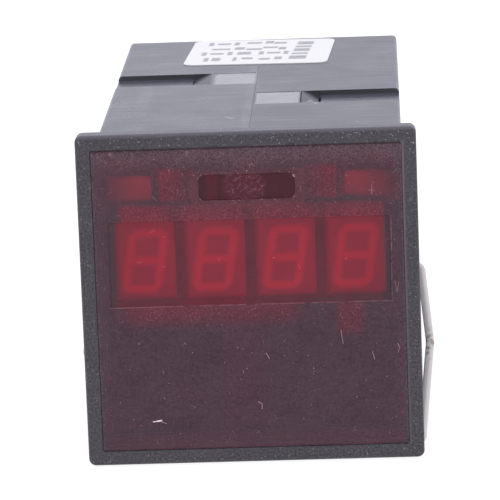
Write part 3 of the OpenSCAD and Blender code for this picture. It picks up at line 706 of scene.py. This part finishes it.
ROOF_Z = 21
CHANNEL_FRONT_Y = 40.2
CHANNEL_REAR_Y = 58.2
CHANNEL_X = 15.9
CHANNEL_HALF = (6.05, 5.0)
RAMP_X = 8.5
RAMP_HALF = (1.35, 4.9)
RAMP_TOP_X = 7.1
PAD_X = 3.57
PAD_HALF = (3.27, 4.9)
REAR_PAD_X = -3.4
REAR_PAD_HALF = (3.2, 5.1)
CREASE_X = 7.12
SHADOW_Y = 45.6
SHADOW_SLOPE = 2.75
SHELL_GREY = (0.03, 0.03, 0.032)
PAD_GREY = (0.217, 0.215, 0.205)
RUBBED_GREY = (0.16, 0.16, 0.17)
SCRATCH_GREY = (0.5, 0.5, 0.52)
CHANNEL_WALL_PAINTED_LIGHT = (0.05, 0.05, 0.053)
CHANNEL_FOOT_PAINTED_LIGHT = (0.08, 0.085, 0.1)
CREASE_SHADE = (0.004, 0.004, 0.005)
RAMP_SHADOW = (0.036, 0.036, 0.042, 1)
shell, shader, place = case_plastic(
    "shell_plastic", SHELL_GREY, roughness=0.3, dust_share=0.1, streak=3.2, edge_r=0.18
)
x, y, z = axes(place)
skin = fed(shader, "Base Color")
dull = fed(shader, "Roughness")
depth = ROOF_Z - z
roof = depth.rise(0.5, 0.3)
underside = (ROOF_Z + z).rise(0.5, 0.3)
pads = inside(x, y, (PAD_X, CHANNEL_FRONT_Y), PAD_HALF, 0.3) * roof
pads = pads + inside(x, y, (REAR_PAD_X, CHANNEL_REAR_Y), REAR_PAD_HALF, 0.9) * roof
pads = pads + inside(x, y, (-PAD_X, CHANNEL_FRONT_Y), PAD_HALF, 0.3) * underside
pads = pads + inside(x, y, (PAD_X, CHANNEL_REAR_Y), PAD_HALF, 0.3) * underside
rubs = stroke(x, y, (-16.85, 54.3), (-16.65, 34.4), 1.6) * 0.3
rubs = rubs.maths("MAXIMUM", stroke(x, y, (-0.8, 0), (-0.8, 70), 0.8) * 0.3)
rubs = rubs * roof * cloud(place, 1.5, 3).rise(0.25, 0.6)
skin = tint(rubs, skin, RUBBED_GREY)
scratches = stroke(x, y, (8.05, 35.6), (8.6, 38.4), 0.3)
scratches = scratches.maths("MAXIMUM", stroke(x, y, (8.6, 38.4), (9.45, 34.0), 0.3))
scratches = scratches.maths("MAXIMUM", stroke(x, y, (-3.7, 24.8), (-2.7, 23.8), 0.4))
skin = tint(scratches * depth.rise(0.7, 0.4) * 0.35, skin, SCRATCH_GREY)
# painted light: the channels' walls are painted paler than the shell against the shade in them, and
# their floors paler and bluer still, as a painted reflection of the sky
channel_light = inside(x, y, (CHANNEL_X, CHANNEL_FRONT_Y), CHANNEL_HALF, 0.1)
channel_light = channel_light + inside(x, y, (-CHANNEL_X, CHANNEL_REAR_Y), CHANNEL_HALF, 0.1)
channel_light = channel_light * depth.rise(0.05, 0.2) * depth.rise(1.2, 1.0)
skin = tint(channel_light * depth.rise(0.8, 0.65), skin, CHANNEL_WALL_PAINTED_LIGHT)
skin = tint(channel_light * depth.rise(0.65, 0.8), skin, CHANNEL_FOOT_PAINTED_LIGHT)
ramps = inside(x, y, (RAMP_X, CHANNEL_FRONT_Y), RAMP_HALF, 0.1)
ramps = ramps + inside(x, y, (-RAMP_X, CHANNEL_REAR_Y), RAMP_HALF, 0.1)
ramps = ramps * depth.rise(0.7, 0.5)
# painted shade: a near-black line along the crease at the top of each ramp, also rougher
crease_shade = stroke(x, y, (CREASE_X, 35.5), (CREASE_X, 44.9), 0.16) * roof
skin = tint(crease_shade * 0.9, skin, CREASE_SHADE)
matte = 0.1 * ramps + 0.4 * crease_shade + 0.02 * roof * x.rise(0, 0.5)
feed(
    shader,
    {
        "Base Color": tint(pads * (0.7 + 0.5 * cloud(place, 2.5)), skin, PAD_GREY),
        "Roughness": dull - 0.08 * pads + matte,
    },
)
# painted shadow: a dark diffuse layer over the deep end of each ramp, where the rear wall's shadow
# falls
along = y - (CHANNEL_REAR_Y - CHANNEL_FRONT_Y) * x.rise(1, -1)
shadow_share = (along - SHADOW_Y + SHADOW_SLOPE * (abs(x) - RAMP_TOP_X)).rise(-2.5, 3.5)
ramp_shadow = place.node("BsdfDiffuse", {}, {"Color": RAMP_SHADOW})
cover(shell, shadow_share * ramps * depth.rise(0.02, 0.1), Field(shader.outputs[0]), ramp_shadow)
dress(shell, "left_shell", "right_shell")

# Terminals: a black block keyed into the case's rear, with twelve pockets that each hold a drilled
# brass contact, a nickel-plated clamp plate and a slotted screw.

BLOCK_BLACK = (0.016, 0.016, 0.018)
BRASS = (0.72, 0.52, 0.22)
SCREW_STEEL = (0.6, 0.59, 0.57)
block_plastic = moulded("block_plastic", BLOCK_BLACK, roughness=0.48, grain=0.25, depth=0.012)[0]
dress(block_plastic, "terminal_block")
contact_brass = bright_metal("contact_brass", BRASS, roughness=0.34, stretch=(1, 1, 0.2))[0]
dress(contact_brass, "terminal_contacts")
clamp_nickel = bright_metal("clamp_nickel", NICKEL, roughness=0.36, stretch=(0.2, 1, 1))[0]
dress(clamp_nickel, "clamp_plates")
screw_steel = bright_metal(
    "screw_steel", SCREW_STEEL, roughness=0.3, stretch=(1, 1, 1), lump=0.2
)[0]
dress(screw_steel, "terminal_screws")

# Clamping bail: one length of nickel-plated spring wire, bent to shape. Its pins turn in the
# case's sides. The arms' sides towards the case are painted paler and less metallic, as painted
# light in place of the case's dark reflection, and their bows are stained brown.

BAIL_SHIFT = 0.4
BOW_Z = -10.4
WIRE = (0.69, 0.655, 0.6)
WIRE_LIT_SIDE = (0.95, 0.92, 0.87)
WIRE_STAIN = (0.2, 0.13, 0.08)
wire, shader, place = bright_metal(
    "spring_wire", WIRE, roughness=0.5, stretch=(1, 0.25, 0.12), lump=0.3
)
x, y, z = axes(place)
brown = abs(z - BOW_Z).rise(3.0, 0.4) * cloud(place, 0.6, 4).rise(0.5, 0.62)

# the arm's middle line runs out from the pivot to the bow, and back in to the bar
arm_x = (23.9 - 0.098 * z).maths("MINIMUM", 26.15 + 0.123 * z)
# painted light: the arms' sides towards the case are paler and less metallic, against the case's
# dark reflection
rubbed_and_lit = (arm_x - abs(x - BAIL_SHIFT)).rise(-0.05, 0.45)
plated_and_lit = tint(rubbed_and_lit, fed(shader, "Base Color"), WIRE_LIT_SIDE)
feed(
    shader,
    {
        "Base Color": tint(brown * 0.7, plated_and_lit, WIRE_STAIN),
        "Metallic": (0.34 - 0.2 * brown) * (1 - rubbed_and_lit),
    },
)
dress(wire, "clamping_bail")

# Sticker: white paper with round corners, stuck across the seam a little askew. Its print is
# plain grey bars and blocks.

STICKER_MIDDLE = (-0.15, 82.2)
STICKER_TURN = radians(-3)
PAPER_DULL = (0.81, 0.8, 0.73)
PAPER_WHITE = (0.89, 0.88, 0.81)
INK = (0.16, 0.16, 0.17)
paper, shader, place = material("sticker_paper")
x, y, z = axes(place)
dx = x - STICKER_MIDDLE[0]
dy = y - STICKER_MIDDLE[1]
u = dx * cos(STICKER_TURN) + dy * sin(STICKER_TURN)
v = dy * cos(STICKER_TURN) - dx * sin(STICKER_TURN)

# the middle and the half size of each bar and block
print_fields = [
    ((-8.6, 8.0), (0.4, 1.5)), ((-6.5, 8.0), (1.1, 0.8)), ((-4.4, 8.0), (0.4, 1.5)),
    ((-1.6, 8.6), (1.2, 0.8)), ((0.9, 9.0), (0.7, 1.2)), ((2.7, 8.2), (1.0, 0.9)),
    ((-6.6, 2.9), (1.5, 0.7)), ((-3.6, 3.4), (0.8, 1.2)), ((-1.2, 2.4), (1.3, 0.8)),
    ((1.4, 3.9), (1.2, 0.8)), ((3.4, 2.8), (0.6, 1.2)),
    ((-9.0, -1.4), (0.4, 1.5)), ((-6.9, -1.4), (1.1, 0.8)), ((-4.8, -1.4), (0.4, 1.5)),
    ((-2.5, -1.4), (1.1, 1.3)), ((0.3, -1.4), (0.4, 1.5)), ((2.3, -1.4), (1.1, 0.8)),
    ((4.3, -1.4), (0.4, 1.5)),
    ((-8.2, -6.9), (0.4, 1.7)), ((-6.6, -6.9), (0.7, 1.5)), ((-3.6, -6.9), (0.3, 1.7)),
    ((-1.6, -6.4), (0.9, 0.9)), ((1.2, -7.2), (0.9, 0.9)), ((3.4, -6.6), (0.6, 1.3)),
    ((6.9, 7.6), (1.3, 1.5)), ((6.8, 4.1), (1.3, 0.9)), ((6.7, 0.9), (1.3, 1.4)),
    ((6.6, -2.6), (1.3, 0.8)), ((6.5, -6.2), (1.4, 1.6)),
]
printed = None
for middle, half in print_fields:
    field = inside(u, v, middle, half, 0.35)
    printed = field if printed is None else printed.maths("MAXIMUM", field)
fibre = cloud(place, 0.5, 4)
feed(
    shader,
    {
        "Base Color": tint(
            printed * (0.42 + 0.42 * cloud(place, 0.6, 3)),
            tint(fibre, PAPER_DULL, PAPER_WHITE),
            INK,
        ),
        "Roughness": 0.5 + 0.2 * fibre,
        "Normal": relief(fibre, 0.006),
    },
)
dress(paper, "top_label")

# The studio: a white sheet under the counter, which leans back on its frame and on the case's
# rear edge, even soft light from all round, and the photograph's long lens.

FLOOR_HALF = 3.0
FLOOR_Z = -0.02405
LEAN = radians(1.81)
SHEET_DULL = (0.24, 0.24, 0.24)
SHEET_WHITE = (0.26, 0.26, 0.26)
SKY_COLOUR = (0.87, 0.87, 1, 1)
SKY_STRENGTH = 1.24
LENS_LENGTH = 274.86
CAMERA_PLACE = (0.01964, -0.52859, 0.12270)
CAMERA_PAN = radians(2.1235)
CAMERA_TILT = radians(90 - 12.4064)
CAMERA_ROLL = radians(-2.135)
sheet = bpy.data.meshes.new("floor_sheet")
sheet.from_pydata(
    [(sx * FLOOR_HALF, sy * FLOOR_HALF, 0) for sx, sy in ((-1, -1), (1, -1), (1, 1), (-1, 1))],
    [],
    [(0, 1, 2, 3)],
)
floor = bpy.data.objects.new("floor", sheet)
floor.location = (0, 0, FLOOR_Z)
floor.rotation_euler = (LEAN, 0, 0)
bpy.context.scene.collection.objects.link(floor)
white, shader, place = material("white_sheet")
feed(
    shader,
    {
        "Base Color": tint(cloud(place, 40), SHEET_DULL, SHEET_WHITE),
        "Roughness": 0.9,
        "Emission Color": (1, 1, 1, 1),
        "Emission Strength": 0.85,
    },
)
from_below = place.node("NewGeometry", {}, {}, "Backfacing")
cover(white, from_below, Field(shader.outputs[0]), place.node("BsdfTransparent", {}, {}))
sheet.materials.append(white)

sky = bpy.data.worlds.new("soft_light")
sky.use_nodes = True
sky.node_tree.nodes["Background"].inputs["Color"].default_value = SKY_COLOUR
sky.node_tree.nodes["Background"].inputs["Strength"].default_value = SKY_STRENGTH
bpy.context.scene.world = sky
bpy.context.scene.view_settings.view_transform = "Standard"

lens = bpy.data.cameras.new("long_lens")
lens.sensor_width = 36
lens.lens = LENS_LENGTH
lens.clip_start = 0.01
lens.clip_end = 20
camera = bpy.data.objects.new("camera", lens)
pan = Matrix.Rotation(CAMERA_PAN, 4, "Z")
tilt = Matrix.Rotation(CAMERA_TILT, 4, "X")
roll = Matrix.Rotation(CAMERA_ROLL, 4, "Z")
camera.matrix_world = Matrix.Translation(CAMERA_PLACE) @ pan @ tilt @ roll
bpy.context.scene.collection.objects.link(camera)
bpy.context.scene.camera = camera
